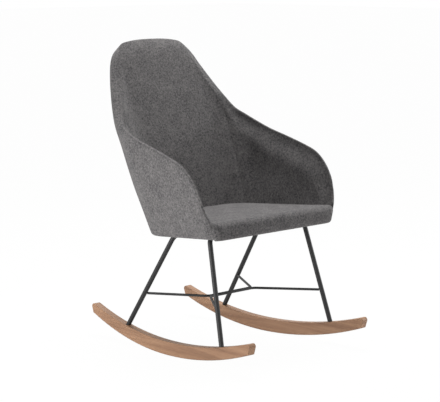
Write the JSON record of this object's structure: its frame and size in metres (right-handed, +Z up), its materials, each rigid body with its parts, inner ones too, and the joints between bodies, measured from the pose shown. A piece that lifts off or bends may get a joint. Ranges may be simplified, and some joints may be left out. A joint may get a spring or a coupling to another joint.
{
  "type": "rocking chair",
  "caption": "Upholstered tub rocking chair: high curved back with sweeping arms, splayed bent-tube steel frame with crossed stretcher rods, and two curved wooden rockers.",
  "frame": {"origin": "centre of the bounding box footprint, at floor level, under the point between the rockers", "axes": "+Z up, the sitter faces -Y, X across the chair; the chair is mirror-symmetric about the YZ plane"},
  "size_m": [0.6146, 0.7753, 0.962],
  "materials": {
    "fabric": "woven grey upholstery cloth",
    "foam": "upholstery foam",
    "core": "moulded plywood",
    "board": "plywood",
    "lining": "black non-woven lining",
    "zinc": "zinc plated",
    "bolt": "black oxide",
    "frame_paint": "satin black powder coat",
    "rocker_wood": "oiled walnut-toned hardwood"
  },
  "bodies": {
    "root": {"outer_cover": "fabric", "inner_back_cover": "fabric", "inner_arm_cover_left": "fabric", "inner_arm_cover_right": "fabric", "shell_core": "core", "back_foam": "foam", "arm_foam_left": "foam", "arm_foam_right": "foam", "seat_cover": "fabric", "seat_foam": "foam", "seat_board": "board", "edge_batten": "board", "dust_cover": "lining", "tee_nuts": "zinc", "frame_bolts": "bolt", "frame_washers": "bolt", "mounting_strap_left": "frame_paint", "mounting_strap_right": "frame_paint", "front_leg_tube": "frame_paint", "rear_leg_tube": "frame_paint", "front_stretcher_rod": "frame_paint", "rear_stretcher_rod": "frame_paint", "leg_end_plugs": "zinc", "rocker_left": "rocker_wood", "rocker_right": "rocker_wood", "rocker_washers": "zinc", "rocker_screws": "bolt"}
  },
  "joints": []
}
